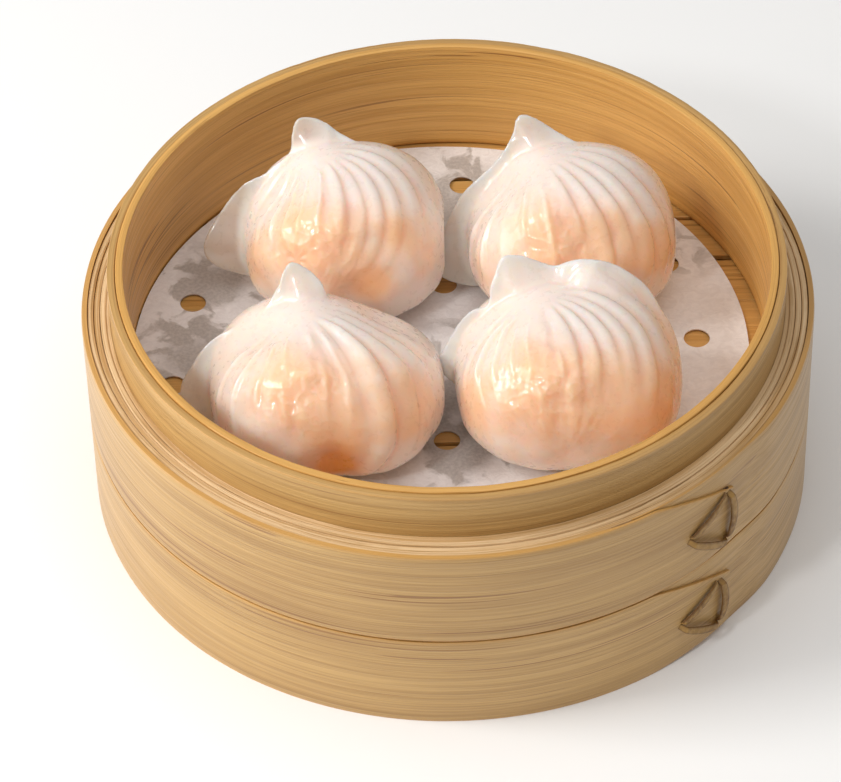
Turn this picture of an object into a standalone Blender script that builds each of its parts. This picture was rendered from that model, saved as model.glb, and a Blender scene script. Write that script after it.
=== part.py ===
"""Har gow in their bamboo steamer basket.

Four pleated prawn dumplings stand on a perforated paper liner inside a small
round bamboo steamer. The basket is built up from bent strips: a two-ply rim
hoop, thin filler plies around it, and two outer bands whose lapped ends are
stitched with flat cane. A floor of split bamboo slats carries the paper.

Frame: metres, +Z up, origin at the centre of the basket's footprint on the
surface it stands on. The stitched laps are at the front right (-Y, +X).
"""
import math

import bmesh
import bpy
from mathutils import Vector

MM = 0.001

# ---- driving dimensions -------------------------------------------------
CLEARANCE = 0.3 * MM           # gap kept between pieces that touch

BAND_RADIUS = 76.0 * MM        # outside of the two outer bands
BAND_THICKNESS = 1.2 * MM
BAND_SEAM_HEIGHT = 23.5 * MM   # top of the lower band
LEDGE_HEIGHT = 47.7 * MM       # top of the upper band
RIM_HEIGHT = 57.9 * MM         # top of the rim hoop

RIM_RADIUS = 69.9 * MM         # outside of the rim hoop
RIM_PLY = 1.4 * MM             # thickness of each of its two plies
RIM_SHIFT = 0.7 * MM           # the hoop sits a little towards the back

PLY_THICKNESS = 1.0 * MM       # filler plies between rim hoop and bands
PLY_COUNT = 3

FLOOR_HEIGHT = 30.9 * MM       # top of the paper liner
PAPER_THICKNESS = 0.4 * MM
PAPER_RADIUS = 64.8 * MM
PAPER_CENTRE = (-1.65 * MM, 1.0 * MM)
PAPER_HOLE_RADIUS = 2.75 * MM

SLAT_THICKNESS = 1.9 * MM
SLAT_COUNT = 10
SLAT_GAP = 2.2 * MM
SUPPORT_DEPTH = 18.0 * MM      # height of the hoop that carries the slats
SUPPORT_THICKNESS = 3.7 * MM
BATTEN_WIDTH = 7.5 * MM
BATTEN_THICKNESS = 2.8 * MM
BATTEN_OFFSET = 28.0 * MM

STITCH_WIDTH = 2.0 * MM
STITCH_THICKNESS = 0.55 * MM

RING_STEPS = 54                # straight facets around each hoop

# ---- levels and radii that follow ----------------------------------------
PAPER_BOTTOM = FLOOR_HEIGHT - PAPER_THICKNESS
SLAT_TOP = PAPER_BOTTOM - CLEARANCE
SLAT_BOTTOM = SLAT_TOP - SLAT_THICKNESS
SUPPORT_TOP = SLAT_BOTTOM - CLEARANCE
RIM_BOTTOM = SLAT_TOP + CLEARANCE
BAND_INSIDE = BAND_RADIUS - BAND_THICKNESS
PLY_OUTSIDE = BAND_INSIDE - CLEARANCE
RIM_CENTRE = (0.0, RIM_SHIFT)

# ---- paper holes, as a bearing and a distance from the middle -------------
PAPER_HOLES = (
    (86.0, 52.9 * MM), (162.9, 56.7 * MM), (268.6, 26.2 * MM), (3.0, 52.4 * MM),
    (29.1, 53.8 * MM), (91.8, 20.9 * MM), (188.3, 58.3 * MM),
)


# ---- small helpers ---------------------------------------------------------
def clear_scene():
    """Start from an empty scene."""
    for old in list(bpy.data.objects):
        bpy.data.objects.remove(old, do_unlink=True)


def principled(name, colour, roughness):
    """A non-metallic Principled material."""
    material = bpy.data.materials.new(name)
    material.use_nodes = True
    shader = material.node_tree.nodes["Principled BSDF"]
    shader.inputs["Base Color"].default_value = (*colour, 1.0)
    shader.inputs["Roughness"].default_value = roughness
    shader.inputs["Metallic"].default_value = 0.0
    return material


def add_object(name, bm, material, location=(0.0, 0.0, 0.0)):
    """Turn a bmesh into a named object with outward faces."""
    bmesh.ops.recalc_face_normals(bm, faces=bm.faces[:])
    mesh = bpy.data.meshes.new(name)
    bm.to_mesh(mesh)
    bm.free()
    mesh.materials.append(material)
    mesh.shade_smooth()
    mesh.set_sharp_from_angle(angle=math.radians(35.0))
    item = bpy.data.objects.new(name, mesh)
    item.location = location
    bpy.context.scene.collection.objects.link(item)
    return item


def polar(radius, degrees, height=0.0):
    """A point at a bearing around +Z, counted from +X towards +Y."""
    angle = math.radians(degrees)
    return Vector((radius * math.cos(angle), radius * math.sin(angle), height))


def blend(low, high, value):
    """Smooth step from 0 at low to 1 at high."""
    ratio = min(1.0, max(0.0, (value - low) / (high - low)))
    return ratio * ratio * (3.0 - 2.0 * ratio)


# ---- basket -----------------------------------------------------------------
def hoop(name, inner, outer, bottom, top, material, centre=(0.0, 0.0)):
    """A closed hoop of rectangular section, turned around the vertical."""
    bm = bmesh.new()
    corners = ((inner, bottom), (outer, bottom), (outer, top), (inner, top))
    profile = [bm.verts.new((radius, 0.0, height)) for radius, height in corners]
    edges = [bm.edges.new((profile[i - 1], profile[i])) for i in range(len(profile))]
    bmesh.ops.spin(
        bm, geom=profile + edges, axis=(0.0, 0.0, 1.0), cent=(0.0, 0.0, 0.0),
        angle=math.tau, steps=RING_STEPS, use_merge=True,
    )
    return add_object(name, bm, material, (*centre, 0.0))


def wrapped_strip(name, steps, place, material):
    """A flat strip bent around the basket.

    place(along, up, out) gives the point of the strip for three fractions:
    along its length, up its height and out through its thickness.
    """
    bm = bmesh.new()
    bmesh.ops.create_grid(bm, x_segments=steps, y_segments=1, size=0.5)
    inside = set(bm.verts)
    bmesh.ops.extrude_face_region(bm, geom=bm.faces[:], use_keep_orig=True)
    for vert in bm.verts:
        out = 0.0 if vert in inside else 1.0
        vert.co = place(vert.co.x + 0.5, vert.co.y + 0.5, out)
    return add_object(name, bm, material)


# Laps of the outer bands: bearings in degrees, counted clockwise from the tip
LAP_TIP_BEARING = -41.8
LAP_LENGTH = 20.0              # how far the two ends of a band overlap
LAP_TAPER = 16.5               # stretch over which the visible end narrows
LAP_END_THICKNESS = 0.45 * MM  # both ends are pared thin where they overlap


def outer_band(name, bottom, top, tip_bottom, tip_top, material):
    """One outer band: a strip that laps over its own thinned end."""
    turn = 360.0 + LAP_LENGTH
    steps = RING_STEPS + 3

    def place(along, up, out):
        travelled = along * turn
        inside = BAND_INSIDE
        outside = BAND_RADIUS
        if travelled <= LAP_LENGTH + turn / steps:
            inside = BAND_INSIDE + LAP_END_THICKNESS + CLEARANCE
        if travelled >= 360.0 - turn / steps:
            outside = BAND_INSIDE + LAP_END_THICKNESS
        taper = max(0.0, 1.0 - travelled / LAP_TAPER)
        low = bottom + taper * (tip_bottom - bottom)
        high = top + taper * (tip_top - top)
        radius = inside + out * (outside - inside)
        return polar(radius, LAP_TIP_BEARING - travelled, low + up * (high - low))

    return wrapped_strip(name, steps, place, material)


def crescent_ply(name, first, last, bottom, top, material):
    """Filler ply that fills the wider gap at the front, thin at both ends."""
    outer = PLY_OUTSIDE - PLY_COUNT * PLY_THICKNESS - PLY_COUNT * CLEARANCE

    def place(along, up, out):
        bearing = first + along * (last - first)
        inner = RIM_RADIUS + CLEARANCE + RIM_SHIFT * math.sin(math.radians(bearing))
        return polar(inner + out * (outer - inner), bearing, bottom + up * (top - bottom))

    return wrapped_strip(name, 30, place, material)


def slat_edges():
    """The y positions of both edges of each slat, at its left and right end."""
    reach = RIM_RADIUS - 1.5 * MM
    pitch = 2.0 * reach / SLAT_COUNT
    for index in range(SLAT_COUNT):
        middle = -reach + (index + 0.5) * pitch
        half = 0.5 * (pitch - SLAT_GAP)
        slant = 0.9 * MM * math.sin(2.1 * index)
        yield middle - half, middle + half, slant


def floor_slat(name, low, high, slant, material):
    """A split bamboo slat: a slice of the round floor, cut along X."""
    bm = bmesh.new()
    bmesh.ops.create_circle(bm, cap_ends=True, segments=48, radius=RIM_RADIUS - 0.8 * MM)
    tilt = slant / RIM_RADIUS
    cuts = ((low, Vector((tilt, -1.0, 0.0))), (high, Vector((tilt, 1.0, 0.0))))
    for height, normal in cuts:
        bmesh.ops.bisect_plane(
            bm, geom=bm.verts[:] + bm.edges[:] + bm.faces[:], plane_co=(0.0, height, 0.0),
            plane_no=normal, clear_outer=True,
        )
    raised = bmesh.ops.extrude_face_region(bm, geom=bm.faces[:], use_keep_orig=True)
    lifted = [part for part in raised["geom"] if isinstance(part, bmesh.types.BMVert)]
    bmesh.ops.translate(bm, vec=(0.0, 0.0, SLAT_THICKNESS), verts=lifted)
    return add_object(name, bm, material, (*RIM_CENTRE, SLAT_BOTTOM))


def batten(name, offset, material):
    """A cross batten under the slats, between the walls of the support hoop."""
    reach = RIM_RADIUS - SUPPORT_THICKNESS - CLEARANCE - 0.4 * MM
    half_length = math.sqrt(reach ** 2 - (abs(offset) + 0.5 * BATTEN_WIDTH) ** 2)
    bm = bmesh.new()
    bmesh.ops.create_cube(bm, size=1.0)
    size = (BATTEN_WIDTH, 2.0 * half_length, BATTEN_THICKNESS)
    bmesh.ops.scale(bm, vec=size, verts=bm.verts[:])
    height = SUPPORT_TOP - 0.5 * BATTEN_THICKNESS
    return add_object(name, bm, material, (offset, RIM_SHIFT, height))


def paper_liner(name, material):
    """The round paper liner with its punched steam holes."""
    bm = bmesh.new()
    bmesh.ops.create_cone(
        bm, cap_ends=True, segments=64, radius1=PAPER_RADIUS, radius2=PAPER_RADIUS,
        depth=PAPER_THICKNESS,
    )
    middle = PAPER_BOTTOM + 0.5 * PAPER_THICKNESS
    liner = add_object(name, bm, material, (*PAPER_CENTRE, middle))
    for number, (bearing, distance) in enumerate(PAPER_HOLES):
        punch = bmesh.new()
        bmesh.ops.create_cone(
            punch, cap_ends=True, segments=14, radius1=PAPER_HOLE_RADIUS,
            radius2=PAPER_HOLE_RADIUS, depth=10.0 * PAPER_THICKNESS,
        )
        spot = polar(distance, bearing, middle)
        cutter = add_object(f"punch_{number + 1}", punch, material, spot)
        cutter.hide_render = True
        cutter.display_type = "WIRE"
        cut = liner.modifiers.new(f"hole_{number + 1}", "BOOLEAN")
        cut.operation = "DIFFERENCE"
        cut.solver = "EXACT"
        cut.object = cutter
    return liner


def stitch(name, corners, material):
    """A flat cane stitch: a triangular loop lying on the outside of a band."""
    bm = bmesh.new()
    ring = [bm.verts.new((0.0, across, up)) for across, up in corners]
    face = bm.faces.new(ring)
    bm.normal_update()
    bmesh.ops.inset_individual(bm, faces=[face], thickness=STITCH_WIDTH)
    bmesh.ops.delete(bm, geom=[face], context="FACES_ONLY")
    bmesh.ops.subdivide_edges(bm, edges=bm.edges[:], cuts=2, use_grid_fill=True)
    below = set(bm.verts)
    bmesh.ops.extrude_face_region(bm, geom=bm.faces[:], use_keep_orig=True)
    for vert in bm.verts:
        radius = BAND_RADIUS + CLEARANCE
        if vert not in below:
            radius += STITCH_THICKNESS
        vert.co = polar(radius, math.degrees(vert.co.y / BAND_RADIUS), vert.co.z)
    return add_object(name, bm, material)


def stitch_corners(bearing, bottom, top):
    """Corners of a stitch: two at the right, one pointing left, in arc and height."""
    right = math.radians(bearing) * BAND_RADIUS
    left = math.radians(bearing - 9.0) * BAND_RADIUS
    return ((left, 0.5 * (bottom + top)), (right, bottom), (right + 0.5 * MM, top))


# ---- dumplings --------------------------------------------------------------
# Each dumpling is described in its own frame: x to the right, y to the back,
# z up, from the middle of its body. Its skin is drawn up to a tab at the top,
# beside a wide flange at the left, and its pleats sweep from the tab over the
# right shoulder and gather at a dimple low on the front.
PLEAT_SECTORS = 9              # pleats, three facets each
PLEAT_FIRST = -65.0            # sweep of the pleats around the tab, in degrees
PLEAT_LAST = 160.0
BACK_FACETS = 9                # plain facets between the last and first pleat
BODY_ROWS = 13
PLAN_POWER = 2.6               # squareness of the body seen from above
SIDE_POWER = 2.2               # and seen from the side, 2 is an ellipse
BODY_MIDDLE = 10.1 * MM        # height of the widest level
BODY_BELOW = 12.0 * MM         # how deep the round body would reach below it
FLANGE_THICKNESS = 1.2 * MM
FLANGE_LEAN = math.radians(28.0)   # the flange leans back from upright
FLANGE_ROOT = 0.80             # its root is sunk into the body
STEPS_BETWEEN = 2              # facets from one point of its outline to the next

# The flange's outline: degrees from the left, up over the top, and reach in mm
EDGE_1 = (
    (-26, 18.4), (-19, 23.0), (-5, 29.9), (3, 29.4), (14, 27.0), (35, 23.9), (47, 23.5),
    (59, 23.2), (69, 28.1), (80, 26.3), (88, 23.2), (104, 20.2),
)
EDGE_2 = (
    (-32, 18.4), (-24, 23.9), (-12, 28.9), (-3, 28.0), (8, 26.3), (31, 24.5), (53, 24.6),
    (62, 26.4), (67, 29.0), (72, 28.7), (84, 23.6), (100, 20.2),
)
EDGE_3 = (
    (-28, 18.4), (-20, 24.8), (-8, 29.9), (0, 29.8), (8, 27.2), (26, 23.9), (42, 21.7),
    (62, 22.3), (70, 25.2), (76, 26.4), (86, 22.6), (94, 18.4), (106, 15.6),
)
EDGE_4 = (
    (-14, 18.4), (-5, 23.3), (5, 27.2), (15, 26.0), (35, 24.8), (43, 23.4), (54, 25.8),
    (62, 28.4), (70, 27.4), (77, 23.9), (86, 20.8), (92, 23.0), (99, 24.7), (110, 25.4),
    (130, 24.8), (147, 23.4), (165, 22.9), (178, 20.2),
)


def dumpling_shapes():
    """The four dumplings: place, half sizes in mm, and how each was folded."""
    common = {"right": 22.1, "front": 21.6, "back": 18.4, "top": 21.2, "pleat": 1.2,
              "tab_at": 72.0}
    spots = {
        "dumpling_1": {"at": (-21.1, 24.6), "edge": EDGE_1, "dimple": (-0.40, -0.90, 0.00),
                       "right": 21.6},
        "dumpling_2": {"at": (26.5, 23.0), "edge": EDGE_2, "dimple": (-0.10, -0.90, 0.10)},
        "dumpling_3": {"at": (-24.9, -19.0), "edge": EDGE_3, "dimple": (-0.30, -0.90, 0.05),
                       "right": 24.2, "front": 24.6, "top": 18.2},
        "dumpling_4": {"at": (24.4, -17.9), "edge": EDGE_4, "dimple": (-0.15, -0.85, 0.15),
                       "right": 23.2, "front": 24.6, "top": 19.3},
    }
    return {name: {**common, **own} for name, own in spots.items()}


def body_radius(direction, shape):
    """Distance from the middle of the body to its skin in one direction."""
    depth = shape["back"] if direction.y > 0.0 else shape["front"]
    height = shape["top"] * MM if direction.z > 0.0 else BODY_BELOW
    plan = abs(direction.x / (shape["right"] * MM)) ** PLAN_POWER
    plan += abs(direction.y / (depth * MM)) ** PLAN_POWER
    total = plan ** (SIDE_POWER / PLAN_POWER) + abs(direction.z / height) ** SIDE_POWER
    return total ** (-1.0 / SIDE_POWER)


def flange_direction(degrees):
    """Direction in the flange's leaning plane: 0 is left, 90 is up."""
    angle = math.radians(degrees)
    rise = math.sin(angle)
    return Vector((
        -math.cos(angle), rise * math.sin(FLANGE_LEAN), rise * math.cos(FLANGE_LEAN),
    ))


def pleat_frame(shape):
    """Axes that carry the pleats from the tab's root to the dimple."""
    root = (flange_direction(shape["tab_at"]) + Vector((0.0, -0.15, 0.0))).normalized()
    dimple = Vector(shape["dimple"]).normalized()
    axis = (root - dimple).normalized()
    front = (root + dimple).normalized()
    side = axis.cross(front).normalized()
    pull = 1.0 / math.tan(0.5 * root.angle(dimple))
    return axis, front, side, min(pull, 0.85)


def pleat_sweep(fraction):
    """Angle around the tab and place within a pleat, for a fraction of a turn."""
    facets = fraction * (3 * PLEAT_SECTORS + BACK_FACETS)
    if facets < 3 * PLEAT_SECTORS:
        number = math.floor(facets / 3.0 + 1e-6)
        within = facets / 3.0 - number
        rise = 1.35 * within if within < 0.6667 else 0.9 + 0.3 * (within - 0.6667)
        sweep = PLEAT_LAST - PLEAT_FIRST
        return PLEAT_FIRST + sweep * (number + rise) / PLEAT_SECTORS, rise
    spare = (facets - 3 * PLEAT_SECTORS) / BACK_FACETS
    return PLEAT_LAST + spare * (360.0 + PLEAT_FIRST - PLEAT_LAST), 0.0


def pleat_height(degrees, polar_angle, rise):
    """Height of the folded skin over the plain body."""
    start = blend(0.18, 0.75, polar_angle)
    end = 1.0 - blend(1.9, 2.9, polar_angle)
    inside = blend(PLEAT_FIRST - 5.0, PLEAT_FIRST + 30.0, degrees)
    inside *= 1.0 - blend(PLEAT_LAST - 35.0, PLEAT_LAST, degrees)
    profile = rise / 0.9 if rise < 0.9 else (1.0 - rise) / 0.1
    return start * end * inside * (profile - 0.35)


def skin_point(fraction, polar_angle, shape):
    """A point of the pleated skin, for a turn around the tab and a fall from it."""
    axis, front, side, pull = pleat_frame(shape)
    degrees, rise = pleat_sweep(fraction)
    turn = math.radians(degrees)
    around = front * math.cos(turn) + side * math.sin(turn)
    direction = axis * math.cos(polar_angle) + around * math.sin(polar_angle)
    direction = (direction + front * pull).normalized()
    radius = body_radius(direction, shape)
    radius += shape["pleat"] * MM * pleat_height(degrees, polar_angle, rise)
    point = direction * radius
    point.z = max(point.z, -BODY_MIDDLE)
    return point


def dumpling_body(shape):
    """The filled, pleated body as a closed round mesh."""
    bm = bmesh.new()
    turns = 3 * PLEAT_SECTORS + BACK_FACETS
    bmesh.ops.create_uvsphere(bm, u_segments=turns, v_segments=BODY_ROWS, radius=1.0)
    for vert in bm.verts:
        fraction = math.atan2(vert.co.y, vert.co.x) / math.tau % 1.0
        fraction = round(fraction * turns) / turns % 1.0
        polar_angle = math.acos(max(-1.0, min(1.0, vert.co.z)))
        vert.co = skin_point(fraction, polar_angle, shape)
    return bm


def outline_at(outline, place):
    """Degrees and reach at a place counted in points along an outline."""
    index = min(int(place + 1e-6), len(outline) - 2)
    share = place - index
    before, after = outline[index], outline[index + 1]
    return tuple(first + share * (second - first) for first, second in zip(before, after))


def flange(shape):
    """The thin pinched edge of the skin, wide at the wing and at the tab."""
    outline = shape["edge"]
    spans = len(outline) - 1
    bm = bmesh.new()
    bmesh.ops.create_grid(bm, x_segments=spans * STEPS_BETWEEN, y_segments=2, size=0.5)
    behind = set(bm.verts)
    bmesh.ops.extrude_face_region(bm, geom=bm.faces[:], use_keep_orig=True)
    normal = flange_direction(0.0).cross(flange_direction(90.0)).normalized()
    for vert in bm.verts:
        degrees, reach = outline_at(outline, (vert.co.x + 0.5) * spans)
        direction = flange_direction(degrees)
        root = FLANGE_ROOT * min(body_radius(direction, shape), reach * MM)
        out = vert.co.y + 0.5
        ripple = 0.5 * MM * out * math.sin(math.radians(6.0 * degrees))
        side = 0.5 if vert in behind else -0.5
        point = direction * (root + out * (reach * MM - root))
        point += normal * (ripple + side * FLANGE_THICKNESS)
        point.z = max(point.z, 0.3 * MM - BODY_MIDDLE)
        vert.co = point
    return bm


def dumpling(name, shape, material):
    """One dumpling: the body joined with its flange."""
    at_x, at_y = shape["at"]
    place = (at_x * MM, at_y * MM, FLOOR_HEIGHT + CLEARANCE + BODY_MIDDLE)
    whole = add_object(name, dumpling_body(shape), material, place)
    edge = add_object(f"{name}_edge", flange(shape), material, place)
    edge.hide_render = True
    edge.display_type = "WIRE"
    join = whole.modifiers.new("edge", "BOOLEAN")
    join.operation = "UNION"
    join.solver = "EXACT"
    join.object = edge
    return whole


# ---- assembly ----------------------------------------------------------------
def build_basket():
    """Rim hoop, filler plies, outer bands, floor and stitches."""
    bamboo = principled("bamboo", (0.66, 0.44, 0.20), 0.5)
    pale = principled("bamboo_cut_edge", (0.74, 0.58, 0.36), 0.6)
    cane = principled("cane", (0.55, 0.36, 0.14), 0.55)
    paper = principled("paper", (0.78, 0.74, 0.72), 0.85)

    rim_split = RIM_RADIUS - RIM_PLY
    rim_inside = rim_split - CLEARANCE - RIM_PLY
    hoop("rim_hoop_inner", rim_inside, rim_split - CLEARANCE, RIM_BOTTOM, RIM_HEIGHT,
         bamboo, RIM_CENTRE)
    hoop("rim_hoop_outer", rim_split, RIM_RADIUS, RIM_BOTTOM, RIM_HEIGHT - 0.3 * MM,
         pale, RIM_CENTRE)
    hoop("support_hoop", RIM_RADIUS - SUPPORT_THICKNESS, RIM_RADIUS,
         SUPPORT_TOP - SUPPORT_DEPTH, SUPPORT_TOP, bamboo, RIM_CENTRE)

    outer = PLY_OUTSIDE
    for number in range(PLY_COUNT):
        top = LEDGE_HEIGHT - (0.3 + 0.2 * (number % 2)) * MM
        hoop(f"wall_ply_{number + 1}", outer - PLY_THICKNESS, outer, CLEARANCE, top, pale)
        outer -= PLY_THICKNESS + CLEARANCE
    crescent_ply("wall_ply_4", -14.0, -172.0, CLEARANCE, LEDGE_HEIGHT - 0.5 * MM, pale)

    upper_bottom = BAND_SEAM_HEIGHT + 0.4 * MM
    outer_band("band_lower", 0.0, BAND_SEAM_HEIGHT, 1.4 * MM, 16.1 * MM, bamboo)
    outer_band("band_upper", upper_bottom, LEDGE_HEIGHT, 25.3 * MM, 40.5 * MM, bamboo)
    stitch("stitch_lower", stitch_corners(-44.5, 2.8 * MM, 17.9 * MM), cane)
    stitch("stitch_upper", stitch_corners(-43.3, 26.2 * MM, 42.3 * MM), cane)

    for number, (low, high, slant) in enumerate(slat_edges()):
        floor_slat(f"slat_{number + 1}", low, high, slant, bamboo)
    batten("batten_left", -BATTEN_OFFSET, bamboo)
    batten("batten_right", BATTEN_OFFSET, bamboo)
    paper_liner("paper_liner", paper)


def build_dumplings():
    """The four dumplings on the liner."""
    skin = principled("dumpling_skin", (0.86, 0.68, 0.58), 0.3)
    for name, shape in dumpling_shapes().items():
        dumpling(name, shape, skin)


clear_scene()
build_basket()
build_dumplings()
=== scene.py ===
# %% [markdown]
# # Har gow in their bamboo steamer
# Four shrimp dumplings lie on a punched paper liner in a small bamboo basket.
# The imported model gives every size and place. This script keeps it as a fixed
# frame, and puts a finely shaped piece with a procedural finish over each solid.

# %% Load the frame and the tools
import math
import random
from collections import namedtuple

import bmesh
import bpy
import numpy as np
from mathutils import Matrix, Vector, noise


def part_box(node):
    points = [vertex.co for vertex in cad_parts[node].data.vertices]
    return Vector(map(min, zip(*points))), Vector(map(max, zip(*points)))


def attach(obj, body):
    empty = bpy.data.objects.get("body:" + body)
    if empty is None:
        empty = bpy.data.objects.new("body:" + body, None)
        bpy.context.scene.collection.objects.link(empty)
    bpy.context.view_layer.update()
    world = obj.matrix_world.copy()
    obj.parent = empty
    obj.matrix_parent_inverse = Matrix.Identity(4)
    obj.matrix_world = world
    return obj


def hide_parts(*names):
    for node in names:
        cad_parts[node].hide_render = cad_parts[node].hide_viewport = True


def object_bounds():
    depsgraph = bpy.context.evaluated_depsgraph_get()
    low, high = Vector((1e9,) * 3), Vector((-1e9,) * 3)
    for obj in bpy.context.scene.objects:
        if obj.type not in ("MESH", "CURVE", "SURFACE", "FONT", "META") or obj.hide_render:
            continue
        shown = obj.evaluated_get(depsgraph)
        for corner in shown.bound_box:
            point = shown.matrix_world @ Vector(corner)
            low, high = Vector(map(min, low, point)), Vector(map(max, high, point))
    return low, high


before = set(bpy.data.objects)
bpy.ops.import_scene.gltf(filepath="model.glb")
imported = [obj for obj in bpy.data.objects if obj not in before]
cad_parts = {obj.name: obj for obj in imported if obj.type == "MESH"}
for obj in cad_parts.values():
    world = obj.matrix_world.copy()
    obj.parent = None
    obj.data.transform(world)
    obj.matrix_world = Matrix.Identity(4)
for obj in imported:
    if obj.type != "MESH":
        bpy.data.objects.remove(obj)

MM = 0.001
cad_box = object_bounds()
print("frame holds", len(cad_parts), "nodes, box", [tuple(c) for c in cad_box])

# %% [markdown]
# ## Small helpers for every piece
# A hoop in the frame is faceted, but its corners lie on true circles, so its
# radii can be measured from them. Every finished mesh then takes the same last
# steps: normals outward, smooth shading with sharp corners kept, a material,
# and the calls that tie it to the frame.

# %% Measure a hoop and finish a piece
Ring = namedtuple("Ring", "centre inner outer bottom top")


def ring_of(node):
    """Centre, inner and outer radius, bottom and top of a hoop of the frame."""
    low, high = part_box(node)
    centre = (low + high) / 2
    spots = [vert.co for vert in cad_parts[node].data.vertices]
    reach = [math.hypot(spot.x - centre.x, spot.y - centre.y) for spot in spots]
    return Ring(Vector((centre.x, centre.y, 0.0)), min(reach), max(reach), low.z, high.z)


def in_scene(name, data):
    """A new object, put in the scene."""
    item = bpy.data.objects.new(name, data)
    bpy.context.scene.collection.objects.link(item)
    return item


def finish_piece(name, mesh, material, slot, *nodes, corners=38.0):
    """Puts a mesh in the scene for these nodes, crisp above an angle in degrees."""
    mesh.materials.clear()
    mesh.materials.append(material)
    mesh.shade_smooth()
    mesh.set_sharp_from_angle(angle=math.radians(corners))
    piece = in_scene(name, mesh)
    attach(piece, "root")
    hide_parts(*nodes)
    print(name, "faces", len(mesh.polygons))


def mesh_from(bm, name):
    """Turns a bmesh into a mesh whose faces point outwards."""
    bmesh.ops.remove_doubles(bm, verts=bm.verts[:], dist=0.001 * MM)
    bmesh.ops.recalc_face_normals(bm, faces=bm.faces[:])
    mesh = bpy.data.meshes.new(name)
    bm.to_mesh(mesh)
    bm.free()
    return mesh


def blend(low, high, value):
    """Smooth step from 0 at low to 1 at high, for a number or an array."""
    ratio = np.clip((value - low) / (high - low), 0.0, 1.0)
    return ratio * ratio * (3.0 - 2.0 * ratio)


# %% [markdown]
# ## Wiring a material
# A procedural finish is a chain of nodes. This class makes one in a line, and
# takes either a plain value or another node's output for each of its inputs, so
# that a recipe below reads from the grain or the skin down to the shader.

# %% A class that wires a material
COLOUR_INPUTS = (6, 7)         # of a Mix node that mixes colours


class Finish:
    """One procedural material around a Principled shader."""

    def __init__(self, name, **sockets):
        self.material = bpy.data.materials.new(name)
        self.material.use_nodes = True
        self.tree = self.material.node_tree
        self.shader = self.tree.nodes["Principled BSDF"]
        for socket, value in sockets.items():
            self.shader.inputs[socket.replace("_", " ")].default_value = value
        self.place = self.add("ShaderNodeTexCoord").outputs["Object"]

    def add(self, kind, inputs=(), **settings):
        """A new node, with its settings and inputs."""
        node = self.tree.nodes.new(kind)
        for key, value in settings.items():
            setattr(node, key, value)
        for key, value in dict(inputs).items():
            self.feed(node.inputs[key], value)
        return node

    def feed(self, socket, value):
        """Links an output to a socket, or sets the socket's own value."""
        if isinstance(value, bpy.types.NodeSocket):
            self.tree.links.new(value, socket)
        else:
            socket.default_value = value

    def plus(self, first, second):
        """The sum of two values."""
        inputs = {0: first, 1: second}
        return self.add("ShaderNodeMath", inputs, operation="ADD").outputs[0]

    def times(self, first, second):
        """The product of two values."""
        inputs = {0: first, 1: second}
        return self.add("ShaderNodeMath", inputs, operation="MULTIPLY").outputs[0]

    def spread(self, value, low, high, to_low=0.0, to_high=1.0):
        """Maps low..high to to_low..to_high, smoothly and clamped."""
        inputs = {"Value": value, "From Min": low, "From Max": high,
                  "To Min": to_low, "To Max": to_high}
        return self.add("ShaderNodeMapRange", inputs,
                        interpolation_type="SMOOTHSTEP").outputs["Result"]

    def mix(self, share, first, second):
        """A colour between two others, each a (red, green, blue) or an output."""
        node = self.add("ShaderNodeMix", {0: share}, data_type="RGBA")
        for socket, colour in zip(COLOUR_INPUTS, (first, second)):
            plain = isinstance(colour, tuple)
            self.feed(node.inputs[socket], (*colour, 1.0) if plain else colour)
        return node.outputs[2]

    def noise(self, stretch, detail=2.0, depth=None, warp=0.0):
        """Noise with so many waves to the metre, on all axes or on each of x, y and z."""
        if isinstance(stretch, float):
            stretch = (stretch, stretch, stretch)
        mapped = self.add("ShaderNodeMapping", {"Vector": self.place, "Scale": stretch})
        inputs = {"Vector": mapped.outputs[0], "Scale": 1.0, "Detail": detail,
                  "Distortion": warp}
        if depth is None:
            return self.add("ShaderNodeTexNoise", inputs).outputs["Fac"]
        inputs["W"] = depth
        return self.add("ShaderNodeTexNoise", inputs, noise_dimensions="4D").outputs["Fac"]

    def attribute(self, name):
        """A value that was written on the mesh's vertices."""
        return self.add("ShaderNodeAttribute", attribute_name=name).outputs["Fac"]

    def bump(self, height, depth):
        """Fine relief of the given depth in metres."""
        inputs = {"Height": height, "Distance": depth, "Strength": 1.0}
        return self.add("ShaderNodeBump", inputs).outputs["Normal"]

    def wear(self, colour, roughness, normal):
        """Feeds the shader and gives back the finished material."""
        self.feed(self.shader.inputs["Base Color"], colour)
        self.feed(self.shader.inputs["Roughness"], roughness)
        self.feed(self.shader.inputs["Normal"], normal)
        return self.material


# %% [markdown]
# ## Bamboo
# Split bamboo is a bundle of straight fibres: fine pale and dark lines a quarter
# of a millimetre apart, wider bands of tone, and now and then one dark thread.
# Noise stretched along the fibres gives all three. On a bent strip the fibres run
# level around the basket, so the noise is slow in x and y and fast in z. On a cut
# edge they show as rings, so the distance from the middle is its fourth coordinate.

# %% The bamboo recipe
ALONG_WAVES = 9.0              # waves to the metre along the fibres
FIBRE_WAYS = {"x": (1, 0, 0), "y": (0, 1, 0), "round": (1, 1, 0)}
EDGE_LINE = (0.60, 0.31, 0.075)


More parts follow.
